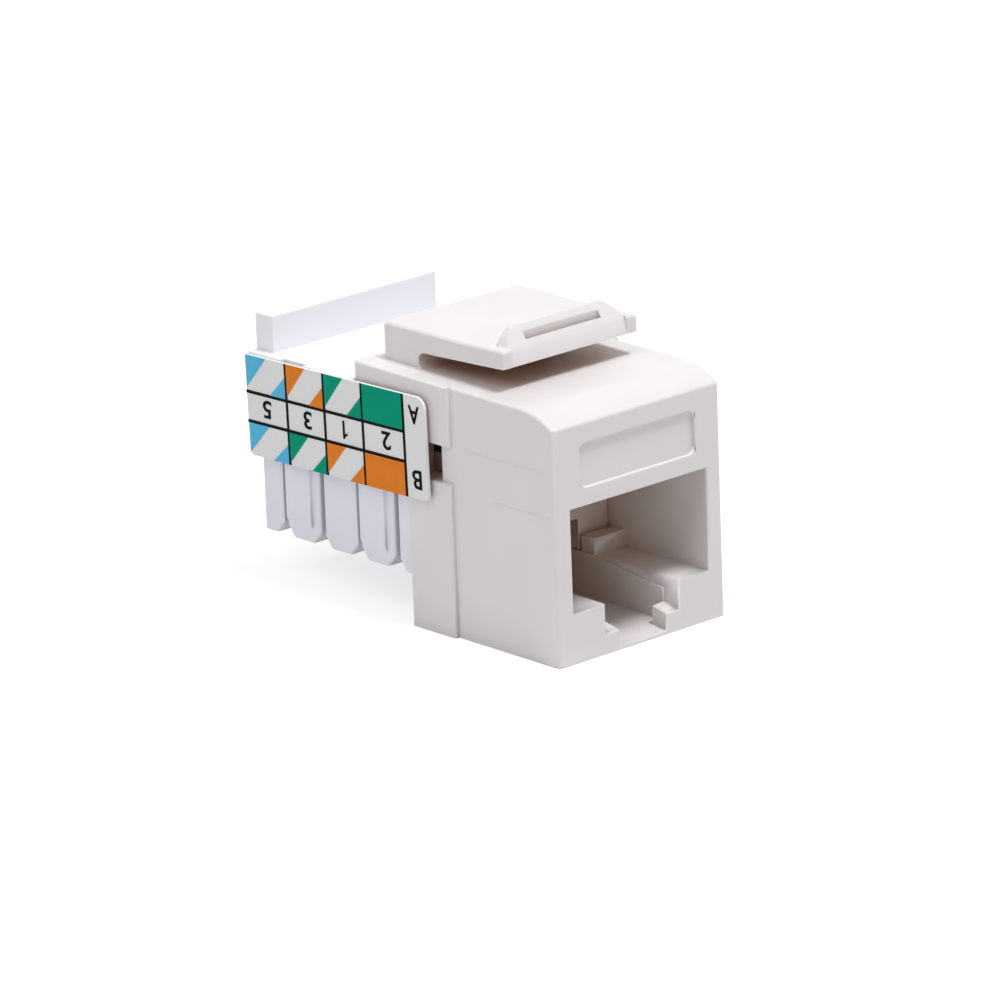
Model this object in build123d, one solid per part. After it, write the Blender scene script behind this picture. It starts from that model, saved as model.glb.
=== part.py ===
from build123d import *
import os
from math import radians, tan

# Keystone jack, modelled as it sits in a panel. Millimetres.
# X runs across the jack, Y from the panel's face to the rear, Z up.
# The origin is the middle of the front face's lower edge.

# Front housing, outside
body_width = 14.76
face_height = 15.95
brow_rise = 1.0
nose_round_length = 3.2
nose_round_radius = 5.62
crown_rise = 0.25
shoulder_y = 9.68
shoulder_step = 0.32
lower_shoulder_depth = 4.07
lower_shoulder_height = 10.49
upper_shoulder_depth = 8.91
upright_edge_radius = 0.3
long_edge_radius = 0.25
shoulder_edge_radius = 0.18

# Side window between the two shoulders
window_height = 2.54
window_inset = 1.02
window_length = 2.2

# Plug port
port_width = 12.06
port_top = 10.4
ledge_height = 3.43
latch_slot_width = 6.56
slot_floor = 0.5
sill_height = 0.24
sill_bevel_length = 2.0
key_slot_width = 4.2
catch_depth = 1.4
catch_height = 1.42
catch_rise = 0.3
cheek_proud = 0.16
cheek_fall = 0.81
cheek_length = 6.7
plug_stop_y = 8.0
plug_stop_length = 1.35
plug_stop_height = 1.12

# Recessed name plate above the port, left bare
plate_width = 10.2
plate_height = 2.95
plate_lift = 1.25
plate_depth = 0.25
plate_corner = 0.65

# Hollow behind the front wall that takes the carrier, the board and the rear block
front_wall = 1.6
side_wall = 1.35
brow_wall = 0.65
crown_wall = 1.15
sleeve_wall = 0.92
sleeve_y = 13.75

# Two notches under the nose that hook over the panel's lower rail
hook_notch_width = 2.6
hook_notch_inset = 0.8
hook_notch_length = 1.5
hook_notch_height = 1.0

# Windows in the sleeve that hold the rear block's snap tabs
snap_y = 15.4
snap_length = 2.0
snap_height = 1.2
snap_margin = 0.25

# Panel latch, a flexible tang on the crown
latch_width = 11.79
latch_lift = 2.47
latch_thickness = 1.47
latch_tip_y = 6.1
latch_tip_rise = 0.1
latch_tip_thickness = 1.23
latch_bend_y = 9.95
latch_bend_thickness = 1.29
latch_root_y = 13.7
latch_root_gap = 0.05
latch_gap_end_y = 14.32
pedestal_rear_y = 17.57
latch_edge_radius = 0.26
latch_tab_step = 0.22
ridge_foot_drop = 0.28
ridge_foot_half_width = 5.07
ridge_peak_y = 7.3
ridge_height = 1.2
ridge_peak_half_width = 3.9
ridge_end_rise = 0.05
ridge_end_radius = 2.9
ridge_rear_y = 7.65
pocket_width = 6.64
pocket_front_y = 6.68
pocket_rear_y = 7.0
pocket_depth = 1.22

# Contacts in the port
contact_count = 8
contact_pitch = 1.016
contact_width = 0.4
contact_thickness = 0.3
contact_bend_radius = 0.45
contact_bend_y = 2.95
contact_bend_gap = 0.04
contact_bend_straight = 0.05
contact_angle = 21.0
contact_knee_y = 8.6
contact_tip_y = 9.8
contact_tip_rise = 0.1
contact_row_y = 8.2
contact_row_step = 2.0

# Contact carrier
carrier_wall_y = 9.5
carrier_wall_thickness = 1.5
carrier_end_thickness = 1.3
carrier_plate_thickness = 1.35
carrier_wall_opening_top = 5.62
comb_slot_width = 0.66
comb_slot_depth = 1.0
comb_slot_bottom = 7.0

# Circuit board
board_thickness = 1.2
board_front_y = 2.2
solder_tail = 0.55

# Termination block with its two rows of wire slots
last_slot_to_rear = 2.21
wing_thickness = 0.25
block_side_wall = 0.44
tower_inset = 0.76
tower_thickness = 3.3
tower_tip = 3.32
tower_root = 9.3
first_slot_y = 15.68
slot_pitch = 3.72
slots_per_side = 4
wire_slot_width = 0.42
wire_slot_top = 9.0
lead_in_rear = 0.75
lead_in_front = 0.6
lead_in_height = 0.85
band_lift = 0.1
wing_front_y = 11.65
pad_proud = 0.2
pad_bottom = 4.2
pad_slope_height = 0.45
pad_front_margin = 0.75
pad_rear_margin = 0.1
block_wall = 1.0

# Insulation displacement blades
blade_width = 2.5
blade_thickness = 0.4
blade_tip = 4.9
blade_slit_width = 0.3
blade_slit_top = 9.6
blade_mouth_width = 0.9
blade_mouth_height = 0.7
blade_tail_width = 0.7
blade_pocket_clearance = 0.06
blade_pocket_room = 0.4

# Rear cover with its upright foot
lid_thickness = 1.02
foot_height = 2.5
foot_thickness = 1.73
foot_inset = 0.75
cover_notch_y = 23.54
cover_notch_length = 2.2
cover_notch_depth = 0.35
cover_notch_height = 0.5

# Wiring labels on both sides
label_thickness = 0.2
label_front_y = 11.3
label_overhang = 0.1
label_height = 6.95
label_tilt = 1.2
label_high_corner = 0.8
label_low_corner = 0.4
row_low_height = 2.36
row_high_height = 4.4
letter_column_y = 13.4
column_pitch = 3.8
column_first_step = 4.06
print_thickness = 0.04
print_line_width = 0.2
stripe_corner_length = 0.52
stripe_corner_height = 0.9
stripe_far_length = 0.4
stripe_far_height = 0.6

# Shared by all pieces: the clearance of a push fit, how far a wall runs into what it
# grows from, how far a cut runs past the face it opens, and how close counts as touching
fit_gap = 0.05
weld = 0.5
overrun = 1.0
touch = 0.01

# Widths that follow from the sizes above
half_body = body_width / 2
half_port = port_width / 2
half_hollow = half_body - side_wall
shoulder_half_width = half_body + shoulder_step
sleeve_half_width = shoulder_half_width - sleeve_wall
inside_half_width = sleeve_half_width - fit_gap - block_side_wall
wing_inner = shoulder_half_width + fit_gap
band_half_width = wing_inner + wing_thickness
label_half_width = band_half_width + label_thickness
tower_half_width = band_half_width - tower_inset
tower_inner = tower_half_width - tower_thickness
blade_x = tower_half_width - tower_thickness / 2

# Places along the jack that follow from them
lower_shoulder_rear_y = shoulder_y + lower_shoulder_depth
upper_shoulder_rear_y = shoulder_y + upper_shoulder_depth
sleeve_end_y = upper_shoulder_rear_y + fit_gap
window_front_y = shoulder_y + window_inset
block_front_y = lower_shoulder_rear_y + fit_gap
slot_centres = [first_slot_y + slot_pitch * n for n in range(slots_per_side)]
block_rear_y = slot_centres[-1] + last_slot_to_rear
block_wall_y = block_rear_y - block_wall
label_rear_y = block_rear_y + label_overhang

# Heights that follow from them
crown_height = face_height + brow_rise
crown_slope = crown_rise / (upper_shoulder_rear_y - nose_round_length)
window_bottom = lower_shoulder_height
window_top = window_bottom + window_height
plate_bottom = port_top + plate_lift
hollow_top = face_height - brow_wall
latch_top = crown_height + crown_rise + latch_lift
latch_underside = latch_top - latch_thickness
latch_tip_top = latch_top + latch_tip_rise
ridge_peak_height = latch_top + ridge_height
board_bottom = port_top + carrier_plate_thickness
board_top = board_bottom + board_thickness
contact_run_z = port_top + fit_gap + contact_thickness / 2
contact_hinge_z = contact_run_z - contact_bend_radius - contact_bend_straight
cover_top = crown_height + crown_slope * (sleeve_y - nose_round_length) - crown_wall - fit_gap
block_top = cover_top - lid_thickness
snap_top = block_top - snap_margin
snap_bottom = snap_top - snap_height
foot_top = cover_top + foot_height
band_bottom = tower_root + band_lift
label_top = cover_top
label_bottom = label_top - label_height


def crown_z(y):
    """Height of the housing's sloping top at a distance from the front."""
    return crown_height + crown_slope * (y - nose_round_length)


def block(x_low, x_high, y_low, y_high, z_low, z_high):
    """Rectangular solid between two corners."""
    middle = Pos((x_low + x_high) / 2, (y_low + y_high) / 2, (z_low + z_high) / 2)
    return middle * Box(x_high - x_low, y_high - y_low, z_high - z_low)


def wide_block(half_width, y_low, y_high, z_low, z_high):
    """Rectangular solid that is centred across the jack."""
    return block(-half_width, half_width, y_low, y_high, z_low, z_high)


def side_prism(outline, x_low, x_high):
    """Solid whose side view is a closed outline of (y, z) points or edges."""
    if not isinstance(outline, Sketch):
        outline = make_face(Polyline(*outline, close=True))
    return Pos(x_low, 0, 0) * extrude(Plane.YZ * outline, x_high - x_low)


def wide_prism(outline, half_width):
    """Side prism that is centred across the jack."""
    return side_prism(outline, -half_width, half_width)


def both_sides(solid):
    """The solid and its mirror image on the jack's other side."""
    return solid + mirror(solid, Plane.YZ)


def body_outline(rear_y):
    """Side view of the nose, from the sill up over the rounded brow to the rear."""
    edges = Line((0, 0), (0, face_height))
    edges += RadiusArc((0, face_height), (nose_round_length, crown_height), nose_round_radius)
    edges += Polyline(
        (nose_round_length, crown_height), (rear_y, crown_z(rear_y)), (rear_y, 0), (0, 0)
    )
    return make_face(edges)


def shoulder_outline(rear_y, z_low, z_high):
    """Side view of a shoulder block, whose top may be the sloping crown."""
    front_top = crown_z(shoulder_y) if z_high is None else z_high
    rear_top = crown_z(rear_y) if z_high is None else z_high
    return [(shoulder_y, z_low), (shoulder_y, front_top), (rear_y, rear_top), (rear_y, z_low)]


def housing_shell():
    """Outside of the housing with its edges rounded, still solid inside."""
    nose = wide_prism(body_outline(lower_shoulder_rear_y), half_body)
    upright = nose.edges().filter_by(Axis.Z).group_by(Axis.Y)[0]
    nose = fillet(upright, upright_edge_radius)
    brow = nose.edges().filter_by(
        lambda edge: abs(edge.center().X) > half_body - touch and edge.center().Z > face_height
    )
    nose = fillet(brow, long_edge_radius)
    lower = wide_prism(shoulder_outline(lower_shoulder_rear_y, 0, lower_shoulder_height), shoulder_half_width)
    lower = soften_shoulder(lower)
    upper = wide_prism(shoulder_outline(upper_shoulder_rear_y, window_top, None), shoulder_half_width)
    upper = soften_shoulder(upper)
    return nose + lower + upper


def soften_shoulder(shoulder):
    """Round the edges of a shoulder block that a hand can feel."""
    felt = ShapeList()
    for face in shoulder.faces().filter_by(Axis.X):
        felt += face.edges().sort_by(Axis.Y)[0:1] + face.edges().sort_by(Axis.Z)[-1:]
    return fillet(felt, shoulder_edge_radius)


def port_cut():
    """Space for the plug, with its latch slot, sill and plug stops."""
    half_slot = latch_slot_width / 2
    half_key = key_slot_width / 2
    rear_y = sleeve_y + overrun
    port = wide_block(half_port, -overrun, rear_y, ledge_height, port_top)
    slot = wide_block(half_slot, -overrun, rear_y, slot_floor, port_top)
    sill = [
        (-overrun, sill_height),
        (0, sill_height),
        (sill_bevel_length, slot_floor),
        (sill_bevel_length, ledge_height),
        (-overrun, ledge_height),
    ]
    port += slot + wide_prism(sill, half_key)
    catch = [
        (-2 * overrun, 0),
        (-2 * overrun, catch_height),
        (0, catch_height),
        (catch_depth, catch_height + catch_rise),
        (catch_depth, 0),
    ]
    port -= both_sides(side_prism(catch, half_key, half_slot))
    cheek_end_y = lower_shoulder_rear_y - carrier_end_thickness - fit_gap
    cheek = [
        (catch_depth, 0),
        (catch_depth, ledge_height - cheek_fall),
        (catch_depth + cheek_length, ledge_height),
        (cheek_end_y, ledge_height),
        (cheek_end_y, 0),
    ]
    port -= both_sides(side_prism(cheek, half_slot - cheek_proud, half_slot + overrun))
    stop = block(
        half_slot,
        half_port + overrun,
        plug_stop_y,
        plug_stop_y + plug_stop_length,
        ledge_height - weld,
        ledge_height + plug_stop_height,
    )
    return port - both_sides(stop)


def hollow_cut():
    """Space above and behind the port for the carrier, the board and the rear block."""
    beyond = upper_shoulder_rear_y + overrun
    hollow = wide_block(half_hollow, front_wall, sleeve_y + overrun, port_top, hollow_top)
    sleeve = [
        (sleeve_y, port_top - weld),
        (sleeve_y, crown_z(sleeve_y) - crown_wall),
        (beyond, crown_z(sleeve_y) - crown_wall),
        (beyond, port_top - weld),
    ]
    hollow += wide_prism(sleeve, sleeve_half_width)
    outside = shoulder_half_width + overrun
    window_rear_y = window_front_y + window_length
    hollow += wide_block(outside, window_front_y, window_rear_y, window_bottom, window_top)
    snap = block(half_hollow, outside, snap_y, snap_y + snap_length, snap_bottom, snap_top)
    return hollow + both_sides(snap)


def soften_latch(solid, rear):
    """Round the latch's upper edges along both sides and across one end."""
    half = latch_width / 2
    sides = solid.edges().filter_by(
        lambda edge: abs(abs(edge.center().X) - half) < touch and edge.center().Z > latch_top - touch
    )
    across = solid.edges().filter_by(Axis.X).filter_by(lambda edge: edge.center().Z > latch_top - touch)
    across = across.sort_by(Axis.Y)
    sides += across[-1:] if rear else across[0:1]
    return fillet(sides, latch_edge_radius)


def pedestal():
    """Root of the latch: the upright block that the tang flexes from."""
    base = crown_z(latch_root_y) - weld
    outline = [
        (latch_root_y, base),
        (latch_root_y, latch_top),
        (pedestal_rear_y, latch_top),
        (pedestal_rear_y, base),
    ]
    solid = wide_prism(outline, latch_width / 2)
    solid = soften_latch(solid, rear=True)
    gap_floor = crown_z(latch_gap_end_y)
    gap_radius = (latch_underside - gap_floor) / 2
    round_y = latch_gap_end_y - gap_radius
    slot_end = Pos(0, round_y, gap_floor + gap_radius) * Rot(0, 90, 0)
    gap = slot_end * Cylinder(gap_radius, latch_width + 2 * overrun)
    gap += wide_block(latch_width / 2 + overrun, latch_root_y - overrun, round_y, gap_floor, latch_underside)
    return solid - gap


def front_housing():
    """Moulded front with the plug port, shoulders, sleeve and latch root."""
    housing = housing_shell() - port_cut() - hollow_cut()
    plate = RectangleRounded(plate_width, plate_height, plate_corner)
    plate = Plane.XZ * Pos(0, plate_bottom + plate_height / 2) * plate
    housing -= extrude(plate, -plate_depth)
    notch = block(
        half_body - hook_notch_inset - hook_notch_width,
        half_body - hook_notch_inset,
        shoulder_y - hook_notch_length,
        shoulder_y,
        -overrun,
        hook_notch_height,
    )
    housing -= both_sides(notch)
    return housing + pedestal()


def panel_latch():
    """Flexible tang with the ridge that catches behind the panel's upper rail."""
    root_y = latch_root_y - latch_root_gap
    outline = [
        (root_y, latch_top),
        (latch_bend_y, latch_top),
        (latch_tip_y, latch_tip_top),
        (latch_tip_y, latch_tip_top - latch_tip_thickness),
        (latch_bend_y, latch_top - latch_bend_thickness),
        (root_y, latch_underside),
    ]
    tang = soften_latch(wide_prism(outline, latch_width / 2), rear=False)
    ridge_foot_y = latch_tip_y + latch_tab_step
    ridge_foot_z = latch_tip_top - ridge_foot_drop
    tip_bottom = latch_tip_top - latch_tip_thickness
    before = latch_tip_y - overrun
    lean = [
        (before, tip_bottom),
        (latch_tip_y, tip_bottom),
        (ridge_foot_y, ridge_foot_z),
        (ridge_peak_y, ridge_peak_height),
        (before, ridge_peak_height),
    ]
    tang -= wide_prism(lean, ridge_foot_half_width)
    ridge = wide_prism(
        [
            (ridge_foot_y, ridge_foot_z),
            (ridge_peak_y, ridge_peak_height),
            (ridge_rear_y, ridge_peak_height),
            (ridge_rear_y, latch_top - weld),
            (ridge_foot_y, latch_top - weld),
        ],
        ridge_foot_half_width,
    )
    peak_right = (ridge_peak_half_width, ridge_peak_height)
    peak_left = (-ridge_peak_half_width, ridge_peak_height)
    end_right = (ridge_foot_half_width, latch_top + ridge_end_rise)
    end_left = (-ridge_foot_half_width, latch_top + ridge_end_rise)
    arch = Polyline(peak_right, peak_left)
    arch += RadiusArc(peak_left, end_left, -ridge_end_radius)
    arch += Polyline(
        end_left,
        (-ridge_foot_half_width, latch_underside),
        (ridge_foot_half_width, latch_underside),
        end_right,
    )
    arch += RadiusArc(end_right, peak_right, -ridge_end_radius)
    ridge = ridge & extrude(Plane.XZ * make_face(arch), -ridge_rear_y - overrun)
    pocket_floor = ridge_peak_height - pocket_depth
    pocket_top = ridge_peak_height + overrun
    pocket = wide_block(pocket_width / 2, pocket_front_y, pocket_rear_y, pocket_floor, pocket_top)
    return tang + ridge - pocket


def contact_x(number):
    """Place of a contact across the port, contact 1 being on the left."""
    return (number - (contact_count + 1) / 2) * contact_pitch


def contact_pin_y(number):
    """Row in which a contact's tail is soldered: two rows, used in turn."""
    return contact_row_y + contact_row_step * (number % 2)


def contact_lead(number):
    """Fixed part of a contact: soldered tail, run along the ceiling, half of the bend."""
    front_y = contact_bend_y - contact_bend_radius
    path = FilletPolyline(
        (contact_pin_y(number), board_top + solder_tail),
        (contact_pin_y(number), contact_run_z),
        (front_y, contact_run_z),
        (front_y, contact_hinge_z + contact_bend_gap / 2),
        radius=contact_bend_radius,
    )
    profile = trace(path, line_width=contact_thickness)
    x = contact_x(number)
    return side_prism(Sketch(profile.wrapped), x - contact_width / 2, x + contact_width / 2)


def contact_finger(number):
    """Springy part of a contact: the other half of the bend and the sloping finger."""
    front_y = contact_bend_y - contact_bend_radius
    corner_z = contact_hinge_z - contact_bend_radius
    knee_z = corner_z - (contact_knee_y - front_y) * tan(radians(contact_angle))
    path = FilletPolyline(
        (front_y, contact_hinge_z - contact_bend_gap / 2),
        (front_y, corner_z),
        (contact_knee_y, knee_z),
        (contact_tip_y, knee_z + contact_tip_rise),
        radius=contact_bend_radius,
    )
    profile = trace(path, line_width=contact_thickness)
    x = contact_x(number)
    return side_prism(Sketch(profile.wrapped), x - contact_width / 2, x + contact_width / 2)


def contact_carrier():
    """Insulating insert that holds the contacts in line and closes the port's rear."""
    half_width = half_port - fit_gap
    low_z = ledge_height + fit_gap
    ceiling_z = port_top + fit_gap
    plate_front_y = front_wall + fit_gap
    plate = wide_block(half_hollow - fit_gap, plate_front_y, lower_shoulder_rear_y, ceiling_z, board_bottom)
    wall_rear_y = carrier_wall_y + carrier_wall_thickness
    wall = wide_block(half_width, carrier_wall_y, wall_rear_y, low_z, ceiling_z)
    wall -= wide_block(
        latch_slot_width / 2, carrier_wall_y - overrun, lower_shoulder_rear_y, 0, carrier_wall_opening_top
    )
    end_y = lower_shoulder_rear_y - carrier_end_thickness
    end = wide_block(half_width, end_y, lower_shoulder_rear_y, low_z, board_bottom)
    end += wide_block(
        latch_slot_width / 2 - fit_gap, end_y, lower_shoulder_rear_y, slot_floor + fit_gap, board_bottom
    )
    carrier = plate + wall + end
    for number in range(1, contact_count + 1):
        x = contact_x(number)
        half_slot = comb_slot_width / 2
        carrier -= block(
            x - half_slot, x + half_slot, carrier_wall_y - overrun, carrier_wall_y + comb_slot_depth,
            comb_slot_bottom, port_top,
        )
        carrier -= contact_hole(number, port_top, board_bottom + overrun, contact_bend_radius / 2)
        half_groove = contact_width / 2 + fit_gap
        groove_front_y = contact_bend_y - contact_bend_radius - contact_thickness
        groove_top = contact_run_z + contact_thickness / 2 + fit_gap
        carrier -= block(
            x - half_groove, x + half_groove, groove_front_y, contact_pin_y(number), port_top, groove_top
        )
    return carrier


def contact_hole(number, z_low, z_high, bend_room):
    """Hole for a contact's soldered tail, longer in front where the tail bends into it."""
    x = contact_x(number)
    y = contact_pin_y(number)
    half_x = contact_width / 2 + fit_gap
    half_y = contact_thickness / 2 + fit_gap
    return block(x - half_x, x + half_x, y - half_y - bend_room, y + half_y, z_low, z_high)


def circuit_board():
    """Board that joins the port's contacts to the blades."""
    neck_y = sleeve_y + fit_gap
    board = wide_block(half_hollow - fit_gap, board_front_y, neck_y, board_bottom, board_top)
    board += wide_block(inside_half_width - fit_gap, neck_y, block_wall_y - fit_gap, board_bottom, board_top)
    for number in range(1, contact_count + 1):
        board -= contact_hole(number, board_bottom - overrun, board_top + overrun, 0)
    for y in slot_centres:
        size_x = blade_thickness + 2 * fit_gap
        size_y = blade_tail_width + 2 * fit_gap
        hole = Box(size_x, size_y, board_thickness + 2 * overrun)
        board -= both_sides(Pos(blade_x, y, board_bottom + board_thickness / 2) * hole)
    return board


def wire_slot(y):
    """Slot between two posts, with its sloping lead-in, through one row."""
    half = wire_slot_width / 2
    outline = [
        (y - half - lead_in_front, tower_tip - touch),
        (y - half, tower_tip + lead_in_height),
        (y - half, wire_slot_top),
        (y + half, wire_slot_top),
        (y + half, tower_tip + lead_in_height),
        (y + half + lead_in_rear, tower_tip - touch),
    ]
    return side_prism(outline, tower_inner - overrun, tower_half_width + overrun)


def blade_pocket(y):
    """Narrow pocket that a blade is pushed up through."""
    half_x = blade_thickness / 2 + blade_pocket_clearance
    half_y = blade_width / 2 + blade_pocket_clearance
    low_z = blade_tip - blade_pocket_room
    return block(blade_x - half_x, blade_x + half_x, y - half_y, y + half_y, low_z, board_bottom + overrun)


def idc_block():
    """Moulded block with two rows of posts between which the wires are punched down."""
    towers = block(tower_inner, tower_half_width, block_front_y, block_rear_y, tower_tip, tower_root + weld)
    root = block(0, tower_half_width, block_front_y, block_rear_y, tower_root, board_bottom)
    band_inner = tower_half_width - weld
    band_front_top = window_top - fit_gap
    band_front = block(band_inner, band_half_width, block_front_y, sleeve_end_y, band_bottom, band_front_top)
    band = block(band_inner, band_half_width, sleeve_end_y, block_rear_y, band_bottom, block_top)
    wall_outer = sleeve_half_width - fit_gap
    wall_low = board_bottom - weld
    wall = block(inside_half_width, wall_outer, block_front_y, sleeve_end_y + weld, wall_low, block_top)
    wing = block(wing_inner, band_half_width, wing_front_y, sleeve_end_y + weld, band_bottom, block_top)
    rear_wall = block(0, band_half_width, block_wall_y, block_rear_y, wall_low, block_top)
    tab = block(
        inside_half_width, shoulder_half_width - fit_gap, snap_y + fit_gap, snap_y + snap_length - fit_gap,
        snap_bottom + fit_gap, snap_top - fit_gap,
    )
    half_block = towers + root + band_front + band + wing + wall + rear_wall + tab
    half_block -= block(
        -overrun, inside_half_width, block_front_y - overrun, block_wall_y, board_bottom, block_top + overrun
    )
    for pad_rear_y, pad_front_y in pad_spans():
        half_block += Pos(0, pad_front_y, 0) * raised_pad(pad_rear_y - pad_front_y)
    for y in slot_centres:
        half_block -= wire_slot(y)
        half_block -= blade_pocket(y)
    return both_sides(half_block)


def raised_pad(length):
    """Raised pad on a post's outer face, which slopes in at its lower end."""
    inner = tower_half_width - weld
    outer = tower_half_width + pad_proud
    section = Polyline(
        (inner, pad_bottom),
        (tower_half_width, pad_bottom),
        (outer, pad_bottom + pad_slope_height),
        (outer, band_bottom + weld),
        (inner, band_bottom + weld),
        (inner, pad_bottom),
    )
    return extrude(Plane.XZ * make_face(section), -length)


def pad_spans():
    """Rear and front ends of the raised pads on every second post."""
    spans = []
    for y in slot_centres[0::2]:
        rear_y = y + slot_pitch - wire_slot_width / 2 - pad_rear_margin
        spans.append((rear_y, y + wire_slot_width / 2 + pad_front_margin))
    return spans


def idc_blade(y, side):
    """Forked blade that grips one wire, with a tail through the board."""
    half = blade_width / 2
    slit = blade_slit_width / 2
    mouth = blade_mouth_width / 2
    tail = blade_tail_width / 2
    shoulder_z = board_bottom - fit_gap
    outline = [
        (y - half, blade_tip + blade_mouth_height / 2),
        (y - half, shoulder_z),
        (y - tail, shoulder_z),
        (y - tail, board_top + solder_tail),
        (y + tail, board_top + solder_tail),
        (y + tail, shoulder_z),
        (y + half, shoulder_z),
        (y + half, blade_tip + blade_mouth_height / 2),
        (y + half - blade_mouth_height / 2, blade_tip),
        (y + mouth, blade_tip),
        (y + slit, blade_tip + blade_mouth_height),
        (y + slit, blade_slit_top),
        (y - slit, blade_slit_top),
        (y - slit, blade_tip + blade_mouth_height),
        (y - mouth, blade_tip),
        (y - half + blade_mouth_height / 2, blade_tip),
    ]
    x = side * blade_x
    return side_prism(outline, x - blade_thickness / 2, x + blade_thickness / 2)


def rear_cover():
    """Lid over the board, with the upright foot that takes the punch-down force."""
    lid = wide_block(band_half_width, sleeve_end_y, block_rear_y, block_top, cover_top)
    tongue = wide_block(sleeve_half_width - fit_gap, block_front_y, sleeve_end_y + weld, block_top, cover_top)
    foot_front_y = block_rear_y - foot_thickness
    foot = wide_block(band_half_width - foot_inset, foot_front_y, block_rear_y, cover_top - weld, foot_top)
    rib_out = inside_half_width - fit_gap
    rib_in = blade_x + blade_thickness / 2 + 2 * fit_gap
    rib = block(rib_in, rib_out, block_front_y, block_wall_y - fit_gap, board_top, block_top + weld)
    cover = lid + tongue + foot + both_sides(rib)
    notch_end_y = cover_notch_y + cover_notch_length
    notch_inner = band_half_width - cover_notch_depth
    notch_bottom = cover_top - cover_notch_height
    notch = block(
        notch_inner, band_half_width + overrun, cover_notch_y, notch_end_y, notch_bottom, cover_top + overrun
    )
    return cover - both_sides(notch)


def tilt_label(solid):
    """Turn a label or its print by the small angle at which the label was stuck on."""
    middle_y = (label_front_y + label_rear_y) / 2
    middle_z = (label_bottom + label_top) / 2
    return Pos(0, middle_y, middle_z) * Rot(-label_tilt, 0, 0) * Pos(0, -middle_y, -middle_z) * solid


def wiring_label(side):
    """Stiff label card with its corners rounded."""
    outline = make_face(
        Polyline(
            (label_front_y, label_bottom), (label_front_y, label_top),
            (label_rear_y, label_top), (label_rear_y, label_bottom), close=True,
        )
    )
    front_high = outline.vertices().sort_by(lambda vertex: vertex.X - vertex.Y)[0]
    outline = fillet(front_high, label_high_corner)
    front_low = outline.vertices().sort_by(lambda vertex: vertex.X + vertex.Y)[0]
    outline = fillet(front_low, label_low_corner)
    rear_low = outline.vertices().sort_by(lambda vertex: vertex.X - vertex.Y)[-1]
    outline = fillet(rear_low, label_low_corner)
    low, high = sorted((side * band_half_width, side * label_half_width))
    return tilt_label(side_prism(Sketch(outline.wrapped), low, high))


def print_solid(outline, side):
    """One printed field, a thin skin on a label."""
    low, high = sorted((side * label_half_width, side * (label_half_width + print_thickness)))
    return tilt_label(side_prism(outline, low, high))


def column_edges():
    """Rear and front edges of the label's four columns, from the rear."""
    lines = [letter_column_y]
    for number in range(1, slots_per_side):
        lines.append(letter_column_y + column_first_step + column_pitch * (number - 1))
    edges = [label_rear_y] + lines[::-1]
    return list(zip(edges[:-1], edges[1:]))


def solid_field(rear_y, front_y, z_low, z_high):
    """Outline of a plain coloured field."""
    return [[(rear_y, z_low), (rear_y, z_high), (front_y, z_high), (front_y, z_low)]]


def striped_field(rear_y, front_y, z_low, z_high):
    """Outlines of the two coloured corners that leave a pale stripe between them."""
    length = rear_y - front_y
    height = z_high - z_low
    near = [
        (rear_y, z_high),
        (rear_y - stripe_corner_length * length, z_high),
        (rear_y, z_high - stripe_corner_height * height),
    ]
    far = [
        (front_y, z_low),
        (front_y + stripe_far_length * length, z_low),
        (front_y, z_low + stripe_far_height * height),
    ]
    return [near, far]


def label_fields(side, upper, lower):
    """Coloured outlines of one label: its side, colour and shape for each field."""
    half_line = print_line_width / 2
    upper_bottom = label_bottom + row_high_height + half_line
    lower_top = label_bottom + row_low_height - half_line
    rows = ((upper_bottom, label_top, upper), (label_bottom, lower_top, lower))
    fields = []
    for z_low, z_high, scheme in rows:
        for (rear_y, front_y), (colour, style) in zip(column_edges(), scheme):
            make = striped_field if style == "striped" else solid_field
            for outline in make(rear_y - half_line, front_y + half_line, z_low, z_high):
                fields.append((side, colour, outline))
    return fields


def label_lines(side):
    """Black lines that divide the label into rows and columns."""
    half_line = print_line_width / 2
    rear_y = column_edges()[0][0]
    lines = []
    for z in (label_bottom + row_low_height, label_bottom + row_high_height):
        lines.append(solid_field(rear_y, letter_column_y - half_line, z - half_line, z + half_line)[0])
    for _, y in column_edges():
        lines.append(solid_field(y + half_line, y - half_line, label_bottom, label_top)[0])
    return [(side, "black", outline) for outline in lines]


def label_print():
    """Every printed field of both labels, gathered by colour."""
    left_upper = [("blue", "striped"), ("orange", "striped"), ("green", "striped"), ("green", "solid")]
    left_lower = [("blue", "striped"), ("green", "striped"), ("orange", "striped"), ("orange", "solid")]
    right_upper = [("blue", "solid"), ("orange", "solid"), ("brown", "solid"), ("brown", "striped")]
    right_lower = [("blue", "solid"), ("green", "solid"), ("brown", "solid"), ("brown", "striped")]
    fields = label_fields(-1, left_upper, left_lower) + label_fields(1, right_upper, right_lower)
    fields += label_lines(-1) + label_lines(1)
    colours = {}
    for side, colour, outline in fields:
        solid = print_solid(outline, side)
        colours[colour] = colours[colour] + solid if colour in colours else solid
    return colours


def build_all():
    """Every piece of the jack by the name of its node."""
    parts = {
        "front_housing": front_housing(),
        "panel_latch": panel_latch(),
        "contact_carrier": contact_carrier(),
        "circuit_board": circuit_board(),
        "idc_block": idc_block(),
        "rear_cover": rear_cover(),
        "label_left": wiring_label(-1),
        "label_right": wiring_label(1),
    }
    leads = [contact_lead(number) for number in range(1, contact_count + 1)]
    parts["contact_leads"] = Compound(children=leads)
    for number in range(1, contact_count + 1):
        parts[f"contact_finger_{number}"] = contact_finger(number)
    blade_number = 0
    for side in (-1, 1):
        for y in slot_centres:
            blade_number += 1
            parts[f"idc_blade_{blade_number}"] = idc_blade(y, side)
    for colour, solid in label_print().items():
        parts[f"print_{colour}"] = solid
    return parts


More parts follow.
